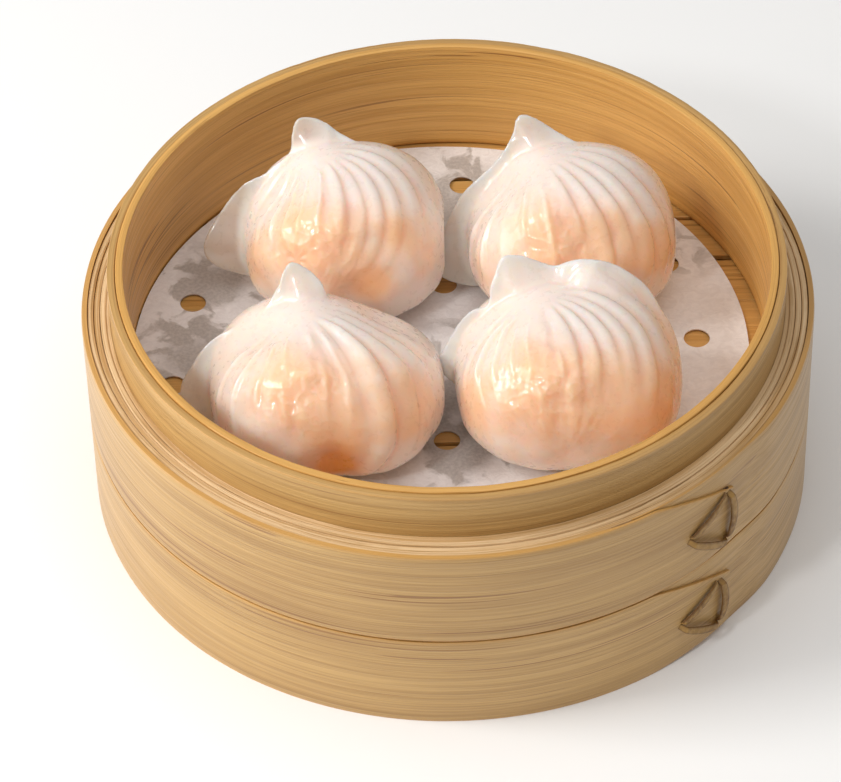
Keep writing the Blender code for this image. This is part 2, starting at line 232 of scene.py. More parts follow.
def bamboo(name, along, pale, deep, thread, contrast=1.0, roughness=0.5, coat=0.0,
           edge_tint=0.6):
    """Bamboo whose fibres run along x, along y or round the basket."""
    finish = Finish(name, Coat_Weight=coat, Coat_Roughness=0.35)
    depth = None
    if along == "round":
        flat = finish.add("ShaderNodeVectorMath", {0: finish.place, 1: (1.0, 1.0, 0.0)},
                          operation="MULTIPLY").outputs[0]
        length = finish.add("ShaderNodeVectorMath", {0: flat}, operation="LENGTH")
        depth = length.outputs["Value"]

    def grain(waves, detail, warp=0.0):
        lengthwise = ALONG_WAVES * (1.0 + waves / 1500.0)
        stretch = [lengthwise if way else waves for way in FIBRE_WAYS[along]]
        deep_waves = finish.times(depth, waves) if depth else None
        return finish.noise(stretch, detail, deep_waves, warp)

    tone = finish.spread(grain(90.0, 2.0), 0.35, 0.68)
    bands = finish.spread(grain(620.0, 4.0, 0.6), 0.36, 0.64)
    fibres = finish.spread(grain(3300.0, 2.0), 0.3, 0.7)
    threads = finish.spread(grain(1700.0, 0.5, 0.5), 0.635, 0.675)
    patch = finish.spread(grain(260.0, 1.0), 0.42, 0.60)
    shade = finish.plus(finish.times(tone, 0.20 * contrast),
                        finish.times(bands, 0.30 * contrast))
    shade = finish.plus(shade, finish.times(fibres, 0.34 * contrast))
    colour = finish.mix(shade, pale, deep)
    dark_lines = finish.times(finish.times(threads, patch), 0.75)
    colour = finish.mix(dark_lines, colour, thread)
    edge_line = finish.times(finish.attribute("edge"), edge_tint)
    colour = finish.mix(edge_line, colour, EDGE_LINE)
    rough = finish.spread(fibres, 0.0, 1.0, roughness - 0.06, roughness + 0.1)
    relief = finish.plus(fibres, finish.times(bands, 1.4))
    return finish.wear(colour, rough, finish.bump(relief, 0.05 * MM))


band_bamboo = bamboo("band_bamboo", "round", (0.61, 0.375, 0.13), (0.31, 0.155, 0.035),
                     (0.24, 0.09, 0.015), contrast=1.0, roughness=0.42, coat=0.5)
inner_bamboo = bamboo("inner_bamboo", "round", (0.80, 0.455, 0.13), (0.44, 0.195, 0.028),
                      (0.24, 0.085, 0.01), contrast=0.9, roughness=0.42, coat=0.2)
edge_bamboo = bamboo("edge_bamboo", "round", (0.94, 0.72, 0.45), (0.46, 0.26, 0.09),
                     (0.22, 0.10, 0.025), contrast=1.4, roughness=0.6, edge_tint=0.2)
floor_colours = ((0.76, 0.44, 0.14), (0.50, 0.24, 0.05), (0.30, 0.13, 0.02))
slat_bamboo = bamboo("slat_bamboo", "x", *floor_colours)
batten_bamboo = bamboo("batten_bamboo", "y", *floor_colours)
print("bamboo finishes:", [m.name for m in bpy.data.materials if "bamboo" in m.name])


# %% [markdown]
# ## Bent hoops
# The rim is two thin plies bent to a circle, and the wall below is thickened by
# filler plies between rim and bands. A rectangle turned round the axis gives a
# ply. Small bevels catch the light, and a slow wander of radius and height keeps
# the plies from looking lathe-turned, because split bamboo never bends evenly.
# A value called edge on the vertices darkens a thin line along both edges.

# %% Helpers for hoops
AROUND = 300                   # steps round a hoop
EDGE_ROUNDING = 0.22 * MM
TINTED_EDGE = 0.7 * MM         # the darker skin line along an edge
CUT_FACE_TINT = 0.3
HOOP_SWELL = 0.10 * MM
HOOP_DRIFT = 0.04 * MM         # how far the radius wanders
HOOP_CHIPS = 0.13 * MM         # how far the top edge dips
SAME_PLACE = 1e-6              # metres
SHARP_TURN = 0.5               # radians between two faces


def wander(bearing, seed, waves):
    """A slow, repeatable wander between about -1 and 1, closed round a hoop."""
    spot = Vector((waves * math.cos(bearing), waves * math.sin(bearing), 7.3 * seed))
    return noise.noise(spot) * 1.6


def full_turn(bm, profile, steps):
    """Spins a profile once round the upright axis and closes it."""
    bmesh.ops.spin(bm, geom=profile, axis=(0.0, 0.0, 1.0), cent=(0.0, 0.0, 0.0),
                   angle=math.tau, steps=steps, use_merge=True)


def round_edges(bm, edges, offset=EDGE_ROUNDING, segments=2):
    """Takes the sharpness off some edges."""
    bmesh.ops.bevel(bm, geom=edges, offset=offset, segments=segments, profile=0.5,
                    affect="EDGES", material=-1)


def is_level(edge):
    """Whether both ends of an edge are at the same height."""
    first, last = edge.verts
    return abs(first.co.z - last.co.z) < 0.1 * SAME_PLACE


def goes_round(edge):
    """Whether both ends of an edge are equally far from the axis."""
    first, last = edge.verts
    return abs(first.co.xy.length - last.co.xy.length) < SAME_PLACE


def turned_hoop(ring, seed, swell):
    """A ply: a turned rectangle with rounded edges, and a little uneven."""
    bm = bmesh.new()
    tint = bm.verts.layers.float.new("edge")
    inner, outer = ring.inner - swell, ring.outer + swell
    low, high = ring.bottom + TINTED_EDGE, ring.top - TINTED_EDGE
    corners = ((inner, ring.bottom), (outer, ring.bottom), (outer, low), (outer, high),
               (outer, ring.top), (inner, ring.top), (inner, high), (inner, low))
    profile = [bm.verts.new((radius, 0.0, height)) for radius, height in corners]
    edges = [bm.edges.new((profile[i - 1], profile[i])) for i in range(len(corners))]
    full_turn(bm, profile + edges, AROUND)
    round_edges(bm, [edge for edge in bm.edges if is_level(edge) and goes_round(edge)
                     and edge.calc_face_angle(0.0) > SHARP_TURN])
    for vert in bm.verts:
        bearing = math.atan2(vert.co.y, vert.co.x)
        radius = vert.co.xy.length + HOOP_DRIFT * (wander(bearing, seed, 2.2) - 0.3)
        dip = max(0.0, wander(bearing, seed + 5, 9.0)) + 0.5 * abs(wander(bearing, seed, 30.0))
        share = (vert.co.z - ring.bottom) / (ring.top - ring.bottom)
        height = vert.co.z - (HOOP_CHIPS * dip if share > 0.5 else 0.0)
        near = min(vert.co.z - ring.bottom, ring.top - vert.co.z)
        on_cut_face = near < 0.01 * MM
        vert[tint] = CUT_FACE_TINT if on_cut_face else float(near < 0.9 * TINTED_EDGE)
        vert.co = Vector((radius * math.cos(bearing), radius * math.sin(bearing), height))
    bmesh.ops.translate(bm, vec=ring.centre, verts=bm.verts[:])
    return bm


# %% The rim, the filler plies and the hoop that carries the floor
hoops = (
    ("inner_rim_hoop", "rim_hoop_inner", inner_bamboo, "bamboo"),
    ("outer_rim_hoop", "rim_hoop_outer", band_bamboo, "bamboo_edge"),
    ("filler_ply_1", "wall_ply_1", edge_bamboo, "bamboo_edge"),
    ("filler_ply_2", "wall_ply_2", edge_bamboo, "bamboo_edge"),
    ("filler_ply_3", "wall_ply_3", edge_bamboo, "bamboo_edge"),
    ("slat_support", "support_hoop", inner_bamboo, "bamboo"),
)
for seed, (name, node, material, slot) in enumerate(hoops):
    swell = 0.0 if name == "slat_support" else HOOP_SWELL
    mesh = mesh_from(turned_hoop(ring_of(node), seed, swell), name)
    finish_piece(name, mesh, material, slot, node)


# %% [markdown]
# ## Wrapped strips
# The crescent ply, the two outer bands and the cane stitches are all flat strips
# wrapped round the basket. One helper makes a thin slab from a grid, and a
# function for each strip says where a point at (along, up, out) ends up.

# %% Strip helper
LONG_BORDER = 0.499            # just inside the border of a grid one unit wide


def polar(radius, degrees, height=0.0):
    """A point at a bearing round +Z, counted from +X towards +Y."""
    angle = math.radians(degrees)
    return Vector((radius * math.cos(angle), radius * math.sin(angle), height))


def strip(along_steps, up_steps, place):
    """A slab from a grid, with each point put in place by its three shares."""
    bm = bmesh.new()
    tint = bm.verts.layers.float.new("edge")
    bmesh.ops.create_grid(bm, x_segments=along_steps, y_segments=up_steps, size=0.5)
    inside = set(bm.verts)
    bmesh.ops.extrude_face_region(bm, geom=bm.faces[:], use_keep_orig=True)
    for vert in bm.verts:
        out = 0.0 if vert in inside else 1.0
        vert[tint] = 1.0 if abs(vert.co.y) > LONG_BORDER else 0.0
        vert.co = place(vert.co.x + 0.5, vert.co.y + 0.5, out)
    return bm


# %% The crescent ply at the front
CLEARANCE = 0.3 * MM
CRESCENT_FIRST = 18.0          # bearings of its two ends
CRESCENT_LAST = -196.0
CRESCENT_WAVER = 0.12 * MM
THINNEST_PLY = 0.15 * MM
rim = ring_of("rim_hoop_outer")
ply = ring_of("wall_ply_3")
crescent_low, crescent_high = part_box("wall_ply_4")


def place_crescent(along, up, out):
    """The crescent lies between the rim and the third ply."""
    bearing = CRESCENT_FIRST + along * (CRESCENT_LAST - CRESCENT_FIRST)
    turn = math.radians(bearing)
    outer = ply.inner - 0.5 * CLEARANCE
    beside_rim = rim.outer + 0.5 * CLEARANCE + rim.centre.y * math.sin(turn)
    inner = min(beside_rim, outer - THINNEST_PLY)
    top = crescent_high.z - CRESCENT_WAVER * abs(wander(turn, 21, 8.0))
    height = crescent_low.z + up * (top - crescent_low.z)
    return polar(inner + out * (outer - inner), bearing, height)


mesh = mesh_from(strip(along_steps=220, up_steps=3, place=place_crescent), "filler_ply_4")
finish_piece("filler_ply_4", mesh, edge_bamboo, "bamboo_edge", "wall_ply_4")


# %% [markdown]
# ## The two outer bands
# Each band is one long strip that goes once round and laps over its own pared
# end. The visible end narrows to a tip that a cane stitch holds down. The inner
# end is thinned, so that the lap is hardly thicker than the rest.

# %% Outer bands
LAP_TIP_BEARING = -41.8
LAP_LENGTH = 20.0
LAP_TAPER = 16.5
LAP_END_THICKNESS = 0.45 * MM
BAND_THICKNESS = 1.2 * MM
BAND_RADIUS = cad_box[1].x
BAND_INSIDE = BAND_RADIUS - BAND_THICKNESS
BAND_TOP_WAVER = 0.10 * MM
BAND_SIDE_WAVER = 0.06 * MM
BAND_ROUNDING = 0.18 * MM
ROUNDED_SHARE = 0.06           # of the way from the middle to an edge
FULL_TURN = 360.0


def outer_band(node, tip_bottom, tip_top, seed):
    """One band, with heights from its node and the tip's own two heights."""
    low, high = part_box(node)

    def place(along, up, out):
        travelled = along * (FULL_TURN + LAP_LENGTH)
        lifted = 1.0 - blend(LAP_LENGTH + 1.0, LAP_LENGTH + 7.0, travelled)
        pared = blend(FULL_TURN - 12.0, FULL_TURN - 1.0, travelled)
        inside = BAND_INSIDE + lifted * (LAP_END_THICKNESS + 0.05 * MM)
        outside = BAND_RADIUS - pared * (BAND_THICKNESS - LAP_END_THICKNESS)
        taper = max(0.0, 1.0 - travelled / LAP_TAPER) ** 1.15
        bottom = low.z + taper * (tip_bottom - low.z)
        bearing = LAP_TIP_BEARING - travelled
        turn = math.radians(bearing)
        top_waver = BAND_TOP_WAVER * abs(wander(turn, seed, 7.0))
        side_waver = BAND_SIDE_WAVER * abs(wander(turn, seed, 2.0))
        top = high.z + taper * (tip_top - high.z) - top_waver
        radius = inside + out * (outside - inside) - side_waver
        near_edge = max(0.0, abs(2.0 * up - 1.0) - (1.0 - ROUNDED_SHARE))
        rounding = BAND_ROUNDING * out * near_edge / ROUNDED_SHARE
        return polar(radius - rounding, bearing, bottom + up * (top - bottom))

    return strip(along_steps=420, up_steps=34, place=place)


bands = (  # name, node, and the lower and upper height of the visible tip
    ("lower_band", "band_lower", 1.4 * MM, 16.1 * MM),
    ("upper_band", "band_upper", 25.3 * MM, 40.5 * MM),
)
for seed, (name, node, tip_bottom, tip_top) in enumerate(bands):
    mesh = mesh_from(outer_band(node, tip_bottom, tip_top, seed + 31), name)
    finish_piece(name, mesh, band_bamboo, "bamboo", node)


# %% [markdown]
# ## Cane stitches
# A ribbon of cane goes in at one hole, crosses to the next and comes back, which
# leaves a triangle of three flat ribbons. Each ribbon bows outwards and dives
# into the wall at both ends. The holes are hidden under the ribbons' ends, and
# where a ribbon dives into the wall it is painted near black, as painted shade
# in its hole.

# %% Cane finish and stitches
def cane(name):
    """Dull, darker bamboo skin with fine lines and a slight shine."""
    finish = Finish(name, Coat_Weight=0.08, Coat_Roughness=0.3)
    lines = finish.spread(finish.noise((900.0, 900.0, 700.0), 3.0), 0.3, 0.7)
    tone = finish.spread(finish.noise(160.0, 2.0), 0.35, 0.65)
    colour = finish.mix(lines, (0.38, 0.20, 0.045), (0.18, 0.08, 0.014))
    colour = finish.mix(finish.times(tone, 0.5), colour, (0.46, 0.27, 0.07))
    edges = finish.times(finish.attribute("edge"), 0.6)
    colour = finish.mix(edges, colour, (0.10, 0.04, 0.01))
    # painted shade: a ribbon's end inside its hole is painted near black
    colour = finish.mix(finish.attribute("painted_hole_shade"), colour, (0.06, 0.025, 0.008))
    rough = finish.spread(lines, 0.0, 1.0, 0.4, 0.55)
    return finish.wear(colour, rough, finish.bump(lines, 0.08 * MM))


cane_ribbon = cane("cane_ribbon")
RIBBON_THICKNESS = 0.45 * MM
RIBBON_CROWN = 0.12 * MM
RIBBON_ARCH = 0.35 * MM        # how far its middle stands off the band
RIBBON_DIVE = 1.6 * MM         # how deep its ends go into the wall
STITCH_REACH = 9.0             # degrees from the upright ribbon to the point


def add_part(bm, part):
    """Adds a closed part to a bmesh, with its faces pointing outwards."""
    bmesh.ops.recalc_face_normals(part, faces=part.faces[:])
    loose = bpy.data.meshes.new("loose")
    part.to_mesh(loose)
    part.free()
    bm.from_mesh(loose)
    bpy.data.meshes.remove(loose)


def ribbon(bm, start, end, width, lift, bow):
    """Adds one flat ribbon between two points given by arc length and height."""
    first, last = Vector(start), Vector(end)
    across = (last - first).orthogonal().normalized()

    def place(along, up, out):
        middle = first.lerp(last, along) + across * bow * math.sin(math.pi * along)
        narrow = 1.0 - 0.35 * abs(2.0 * along - 1.0) ** 3
        spot = middle + across * width * narrow * (up - 0.5)
        dive = RIBBON_DIVE * (1.0 - blend(0.0, 0.12, along) + blend(0.88, 1.0, along))
        crown = RIBBON_CROWN * (1.0 - (2.0 * up - 1.0) ** 2)
        radius = BAND_RADIUS + lift + RIBBON_ARCH * math.sin(math.pi * along) - dive
        radius += out * (RIBBON_THICKNESS + crown)
        return polar(radius, math.degrees(spot.x / BAND_RADIUS), spot.y)

    part = strip(along_steps=28, up_steps=4, place=place)
    # how deep a point lies in the wall, painted near black as shade in the hole
    painted_hole_shade = part.verts.layers.float.new("painted_hole_shade")
    for vert in part.verts:
        depth = BAND_RADIUS - 0.1 * MM - vert.co.xy.length
        vert[painted_hole_shade] = float(blend(-0.25 * MM, 0.2 * MM, depth))
    add_part(bm, part)


def stitch(bearing, low, high):
    """Three ribbons round a triangle that points to the left."""
    right = math.radians(bearing) * BAND_RADIUS
    left = math.radians(bearing - STITCH_REACH) * BAND_RADIUS
    bottom, top = low.z + 1.2 * MM, high.z - 1.0 * MM
    point = (left + 0.6 * MM, 0.5 * (bottom + top))
    foot = (right - 0.3 * MM, bottom)
    head = (right, top)
    bm = bmesh.new()
    ribbon(bm, head, point, width=1.5 * MM, lift=0.15 * MM, bow=0.2 * MM)
    ribbon(bm, foot, head, width=1.8 * MM, lift=0.55 * MM, bow=-1.1 * MM)
    ribbon(bm, point, foot, width=1.7 * MM, lift=0.90 * MM, bow=-0.3 * MM)
    return bm


for name, node, bearing in (("lower_stitch", "stitch_lower", -44.5),
                            ("upper_stitch", "stitch_upper", -43.3)):
    mesh = mesh_from(stitch(bearing, *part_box(node)), name)
    finish_piece(name, mesh, cane_ribbon, "cane", node)


# %% [markdown]
# ## The slatted floor
# Ten split slats lie on two battens and the support hoop. A slat is a slice of a
# disc: a circle cut by two planes, raised to its thickness, with its long edges
# eased. The cuts come from each slat's own box, so that the slices fall in place.

# %% Slats and battens
SLAT_COUNT = 10
SLAT_END_GAP = 0.8 * MM        # from the slats' ends to the rim hoop's outside
SLAT_SLANT = 0.9 * MM
SLAT_WIDENING = 0.65 * MM      # added at each long side of a slat
BATTEN_ROUNDING = 0.5 * MM


def raise_sheet(bm, thickness):
    """Makes a slab of a flat sheet of faces."""
    raised = bmesh.ops.extrude_face_region(bm, geom=bm.faces[:], use_keep_orig=True)
    lifted = [part for part in raised["geom"] if isinstance(part, bmesh.types.BMVert)]
    bmesh.ops.translate(bm, vec=(0.0, 0.0, thickness), verts=lifted)


def slat(node, index):
    """A slice of the round floor between the planes of one slat."""
    low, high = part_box(node)
    reach = rim.outer - SLAT_END_GAP
    slant = SLAT_SLANT * math.sin(2.1 * index)
    tilt = slant / rim.outer
    spread = abs(tilt) * (high.x - low.x) / 2
    bm = bmesh.new()
    bmesh.ops.create_circle(bm, cap_ends=True, segments=180, radius=reach)
    bmesh.ops.translate(bm, vec=(0.0, rim.centre.y, low.z), verts=bm.verts[:])
    middle = 0.5 * (low.x + high.x)
    cuts = ((low.y + spread - SLAT_WIDENING, (tilt, -1.0, 0.0)),
            (high.y - spread + SLAT_WIDENING, (tilt, 1.0, 0.0)))
    for height, normal in cuts:
        bmesh.ops.bisect_plane(
            bm, geom=bm.verts[:] + bm.edges[:] + bm.faces[:],
            plane_co=(middle, height, 0.0), plane_no=normal, clear_outer=True,
        )
    raise_sheet(bm, high.z - low.z)
    round_edges(bm, [edge for edge in bm.edges if is_level(edge)])
    return bm


for index in range(SLAT_COUNT):
    node = f"slat_{index + 1}"
    name = f"floor_{node}"
    finish_piece(name, mesh_from(slat(node, index), name), slat_bamboo, "bamboo", node)

for name, node in (("left_batten", "batten_left"), ("right_batten", "batten_right")):
    low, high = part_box(node)
    bm = bmesh.new()
    bmesh.ops.create_cube(bm, size=1.0)
    bmesh.ops.scale(bm, vec=high - low, verts=bm.verts[:])
    bmesh.ops.translate(bm, vec=(low + high) / 2, verts=bm.verts[:])
    round_edges(bm, bm.edges[:], offset=BATTEN_ROUNDING, segments=3)
    finish_piece(name, mesh_from(bm, name), batten_bamboo, "bamboo", node)


# %% [markdown]
# ## The paper liner
# A disc of thin paper with seven punched holes. Steam makes it cockle and leaves
# grey, see-through damp patches. A disc of many rings is punched by Boolean
# cutters and then cockled by slow noise. Each vertex keeps how damp it is, and the
# finish turns that into mottled patches. The two wide patches at the back and at
# the left are painted shade of the wall as well as damp.

# %% Paper finish
def paper_with_damp_and_shade(name):
    """Soft white paper, mottled grey where it is wet and where shade is painted."""
    finish = Finish(name)
    damp_and_shade = finish.attribute("damp_and_shade")
    mottle = finish.spread(finish.noise(150.0, 6.0, warp=0.6), 0.42, 0.60)
    speck = finish.spread(finish.noise(1400.0, 2.0), 0.3, 0.7)
    fibre = finish.spread(finish.noise((420.0, 500.0, 420.0), 4.0, warp=1.5), 0.3, 0.7)
    # share of soaked grey: damp patches, and painted shade at the back and left
    wet = finish.spread(finish.plus(damp_and_shade, finish.times(mottle, 0.42)), 0.45, 0.78)
    dry = finish.mix(fibre, (0.90, 0.86, 0.845), (0.82, 0.775, 0.76))
    soaked_and_shaded = finish.mix(speck, (0.40, 0.355, 0.325), (0.52, 0.47, 0.43))
    colour = finish.mix(finish.times(wet, 0.85), dry, soaked_and_shaded)
    rough = finish.spread(wet, 0.0, 1.0, 0.8, 0.55)
    relief = finish.plus(fibre, finish.times(speck, 0.5))
    return finish.wear(colour, rough, finish.bump(relief, 0.05 * MM))


liner_paper = paper_with_damp_and_shade("liner_paper")

# %% Paper liner
PAPER_THICKNESS = 0.3 * MM
PAPER_RINGS = 44
PAPER_SPOKES = 200
COCKLE_HEIGHT = 0.14 * MM
HOLE_RADIUS = 2.75 * MM
HOLES = (  # bearing in degrees and distance in mm of each punched hole
    (86.0, 52.9), (162.9, 56.7), (268.6, 26.2), (3.0, 52.4), (29.1, 53.8), (91.8, 20.9),
    (188.3, 58.3),
)
DAMP_AND_SHADE_SPOTS = (  # x, y, size in mm and strength of each patch of damp and painted shade
    (2.0, -29.0, 9.5, 1.0), (-3.0, -14.0, 8.0, 1.0), (-50.0, 22.0, 10.0, 0.9),
    # the wide patches at (6, 50) and (-54, 0) are painted wall shade as well as damp
    (-36.0, 8.0, 7.0, 0.7), (6.0, 50.0, 16.0, 0.75), (-54.0, 0.0, 13.0, 0.75),
    (50.0, 30.0, 8.0, 0.35), (2.0, 3.0, 7.0, 0.5),
)


def applied(item):
    """The mesh of a helper object after its modifiers. The object is removed."""
    bpy.context.view_layer.update()
    view = bpy.context.evaluated_depsgraph_get()
    mesh = bpy.data.meshes.new_from_object(item.evaluated_get(view))
    bpy.data.objects.remove(item)
    return mesh


def punched_disc(low, high):
    """A thin disc of rings of faces, with the holes cut out."""
    radius = (high.x - low.x) / 2
    centre = (low + high) / 2
    bm = bmesh.new()
    spoke = [bm.verts.new((radius * step / PAPER_RINGS, 0.0, 0.0))
             for step in range(PAPER_RINGS + 1)]
    edges = [bm.edges.new(pair) for pair in zip(spoke, spoke[1:])]
    full_turn(bm, spoke + edges, PAPER_SPOKES)
    bmesh.ops.remove_doubles(bm, verts=bm.verts[:], dist=0.001 * MM)
    raise_sheet(bm, PAPER_THICKNESS)
    bmesh.ops.translate(bm, vec=(centre.x, centre.y, low.z), verts=bm.verts[:])
    sheet = in_scene("sheet", mesh_from(bm, "sheet"))
    punches = bmesh.new()
    for bearing, distance in HOLES:
        spot = Matrix.Translation(polar(distance * MM, bearing, centre.z))
        bmesh.ops.create_cone(punches, cap_ends=True, segments=36, radius1=HOLE_RADIUS,
                              radius2=HOLE_RADIUS, depth=4.0 * MM, matrix=spot)
    punch = in_scene("punch", mesh_from(punches, "punch"))
    cut = sheet.modifiers.new("cut", "BOOLEAN")
    cut.operation = "DIFFERENCE"
    cut.solver = "EXACT"
    cut.object = punch
    mesh = applied(sheet)
    bpy.data.objects.remove(punch)
    return mesh


def damp_and_shade_at(x, y):
    """How soaked the paper is at a point, painted shade patches included."""
    total = 0.0
    for spot_x, spot_y, size, strength in DAMP_AND_SHADE_SPOTS:
        gap = math.hypot(x / MM - spot_x, y / MM - spot_y) / size
        total = max(total, strength * math.exp(-gap * gap))
    return total


mesh = punched_disc(*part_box("paper_liner"))
damp_and_shade = mesh.attributes.new("damp_and_shade", "FLOAT", "POINT")
for vert, value in zip(mesh.vertices, damp_and_shade.data):
    spot = vert.co
    cockle = noise.noise(Vector((spot.x, spot.y, 0.3)) / (17.0 * MM))
    cockle += 0.4 * noise.noise(Vector((spot.x, spot.y, 4.0)) / (6.0 * MM))
    value.value = damp_and_shade_at(spot.x, spot.y)
    spot.z += COCKLE_HEIGHT * cockle
mesh.name = "liner_sheet"
finish_piece("liner_sheet", mesh, liner_paper, "paper", "paper_liner")


# %% [markdown]
# ## The dumplings' plain form
# A har gow is a disc of wheat-starch dough folded over shrimp. Its filled body
# bulges to the front, and the pinched edge stands behind it as a thin flange
# that ends in a wing at the left and a tab at the top. The body is a squarish
# ball, rounder in the side view, cut flat where it sits. Its distance from the
# middle is a formula, so every later fold can be laid on it by direction.

# %% Sizes of the four dumplings
PLAN_POWER = 2.6
SIDE_POWER = 2.2
BODY_MIDDLE = 10.1             # mm from the base to the widest level
BODY_BELOW = 12.0              # mm from there down to where the ball would close
FLANGE_LEAN = math.radians(28.0)
FLANGE_ROOT = 0.80             # share of the body's radius at which it starts
FLANGE_THICKNESS = 1.1         # mm at the root
FLANGE_TAPER = 0.35
FLANGE_RIPPLE = 0.5            # mm
BASE_CLEARANCE = 0.3           # mm

# Outline of each pinched edge: degrees from the left, up over the top, and reach in mm
EDGE_1 = (
    (-26, 18.4), (-19, 23.6), (-9, 29.8), (-3, 31.0), (4, 29.8), (14, 27.6), (35, 24.4),
    (47, 23.5), (59, 23.2), (69, 28.1), (80, 26.3), (88, 23.2), (104, 20.2),
)
EDGE_2 = (
    (-32, 18.4), (-24, 24.2), (-15, 29.2), (-9, 30.0), (-1, 28.6), (9, 26.9), (31, 25.0),
    (53, 24.6), (62, 26.4), (67, 29.0), (72, 28.7), (84, 23.6), (100, 20.2),
)
EDGE_3 = (
    (-28, 18.4), (-20, 25.2), (-8, 30.4), (0, 30.4), (8, 28.4), (26, 25.0), (42, 21.7),
    (62, 22.3), (70, 25.2), (76, 26.4), (86, 22.6), (94, 18.4), (106, 15.6),
)
EDGE_4 = (
    (-14, 18.4), (-5, 23.3), (5, 27.2), (15, 26.0), (35, 24.8), (43, 23.4), (54, 25.8),
    (62, 28.4), (70, 27.0), (77, 24.6), (84, 23.2), (90, 23.8), (98, 24.9), (110, 25.4),
    (130, 24.8), (147, 23.4), (165, 22.9), (178, 20.2),
)
# clear is how strongly the wing's painted shade is laid on
COMMON = {"clear": 0.5, "right": 22.1, "front": 21.6, "back": 18.4, "top": 21.2}

# What each dumpling's folds do. Directions are from the middle of the body: x right,
# y back, z up. A mound or hollow is (direction, size in mm, height in mm). Folds and
# ridges are degrees of sweep, and the bold fold is (number, height, fall it ends at).
DUMPLINGS = {
    "dumpling_1": {
        # this wing is painted darkest, as the shade of the wall lies on it
        "at": (-21.1, 24.6), "edge": EDGE_1, "right": 21.6, "clear": 0.8,
        "root": (-0.40, 0.00, 0.91), "gather": (-0.45, -0.88, 0.20), "height": 0.68,
        "folds": (-96, -70, -46, -20, 40, 62, 80, 98, 116, 137, 160), "calm": (8, 40),
        "bold": (5, 1.3, 130), "ridges": (-48, -26, -6, 12, 34),
        "mounds": (((-0.20, -0.66, 0.72), 6.5, 1.5), ((-0.44, -0.60, 0.64), 3.5, 0.6),
                   ((0.24, -0.93, 0.26), 5.0, -1.2), ((0.47, -0.64, 0.61), 3.5, -0.4),
                   ((-0.70, -0.05, 0.70), 8.0, -3.4)),
        "star": ((-0.43, -0.78, 0.45), 4.0, 0.2),
        "filling": (((-0.25, -0.68, 0.66), 12.0, 1.0), ((-0.86, -0.49, 0.14), 6.0, 0.8),
                    ((0.24, -0.93, 0.26), 4.5, 0.9), ((0.47, -0.64, 0.61), 4.0, 0.6),
                    ((0.72, -0.55, 0.42), 7.0, 0.55)),
        "amber_shades": (((0.24, -0.93, 0.26), 4.0, 0.3), ((0.47, -0.64, 0.61), 3.0, 0.15)),
    },
    "dumpling_2": {
        "at": (26.5, 23.0), "edge": EDGE_2,
        "root": (-0.33, 0.25, 0.90), "gather": (-0.05, -0.80, -0.60), "height": 0.66,
        "folds": (-70, -48, -26, 0, 38, 54, 70, 85, 101, 118, 136), "calm": (14, 32),
        "bold": (6, 1.3, 150), "ridges": (-52, -30, -10, 10, 30),
        "mounds": (((-0.17, -0.43, 0.89), 6.0, 1.0), ((-0.20, -0.72, 0.66), 6.0, 0.8),
                   ((0.34, -0.71, 0.62), 4.0, -0.6), ((-0.72, 0.0, 0.68), 8.0, -3.0)),
        "star": ((-0.15, -0.72, 0.62), 3.0, 0.05),
        "filling": (((-0.10, -0.74, 0.66), 12.0, 1.0), ((0.34, -0.71, 0.62), 5.0, 0.9),
                    ((0.63, -0.65, 0.44), 5.0, 0.8), ((-0.8, -0.55, 0.1), 6.0, 0.5),
                    ((0.80, -0.50, 0.30), 7.0, 0.7)),
        "amber_shades": (((0.63, -0.65, 0.44), 3.5, 0.15),),
    },
    "dumpling_3": {
        "at": (-24.9, -19.0), "edge": EDGE_3, "right": 24.2, "front": 24.6, "top": 18.2,
        "root": (-0.33, 0.20, 0.92), "gather": (-0.10, -0.80, -0.60), "height": 0.55,
        "folds": (-62, -40, -18, 4, 34, 58, 74, 92, 108, 124, 142), "calm": (24, 36),
        "bold": (7, 2.3, 165), "ridges": (-42, -22, 0, 18, 48, 64),
        "mounds": (((-0.26, -0.62, 0.74), 7.0, 1.2), ((0.08, -0.99, -0.06), 5.0, -2.6),
                   ((0.66, -0.67, 0.33), 7.0, -0.8), ((-0.72, 0.0, 0.68), 8.0, -3.0),
                   ((0.70, 0.40, 0.60), 11.0, -5.0)),
        "star": ((-0.23, -0.82, 0.53), 3.0, 0.06),
        "filling": (((-0.20, -0.72, 0.62), 11.0, 1.0), ((0.66, -0.67, 0.33), 8.0, 1.0),
                    ((0.13, -0.95, 0.25), 6.0, 0.7)),
        "amber_shades": (((0.08, -0.99, -0.06), 5.5, 1.5),),
    },
    "dumpling_4": {
        "at": (24.4, -17.9), "edge": EDGE_4, "clear": 0.1,
        "right": 23.2, "front": 24.6, "top": 19.3,
        "root": (-0.35, 0.00, 0.93), "gather": (-0.15, -0.97, 0.20), "height": 0.70,
        "folds": (-96, -74, -54, -34, 22, 46, 65, 84, 103, 123, 145, 165), "calm": (0, 26),
        "bold": (5, 1.3, 140), "ridges": (-60, -42, -22, -4, 26),
        "mounds": (((-0.35, -0.68, 0.64), 6.5, 1.2), ((-0.06, -0.76, 0.65), 5.5, 0.7),
                   ((0.24, -0.84, 0.49), 4.0, -0.4), ((-0.76, 0.05, 0.64), 8.0, -1.6)),
        "star": ((-0.06, -0.76, 0.65), 2.6, 0.1),
        "filling": (((-0.20, -0.76, 0.58), 12.0, 1.0), ((-0.80, -0.57, 0.17), 6.0, 0.9),
                    ((0.40, -0.80, 0.45), 8.0, 0.8), ((0.78, -0.55, 0.25), 8.0, 0.8)),
        "amber_shades": (),
    },
}
DUMPLINGS = {name: {**COMMON, **own} for name, own in DUMPLINGS.items()}
print("dumplings:", ", ".join(DUMPLINGS))


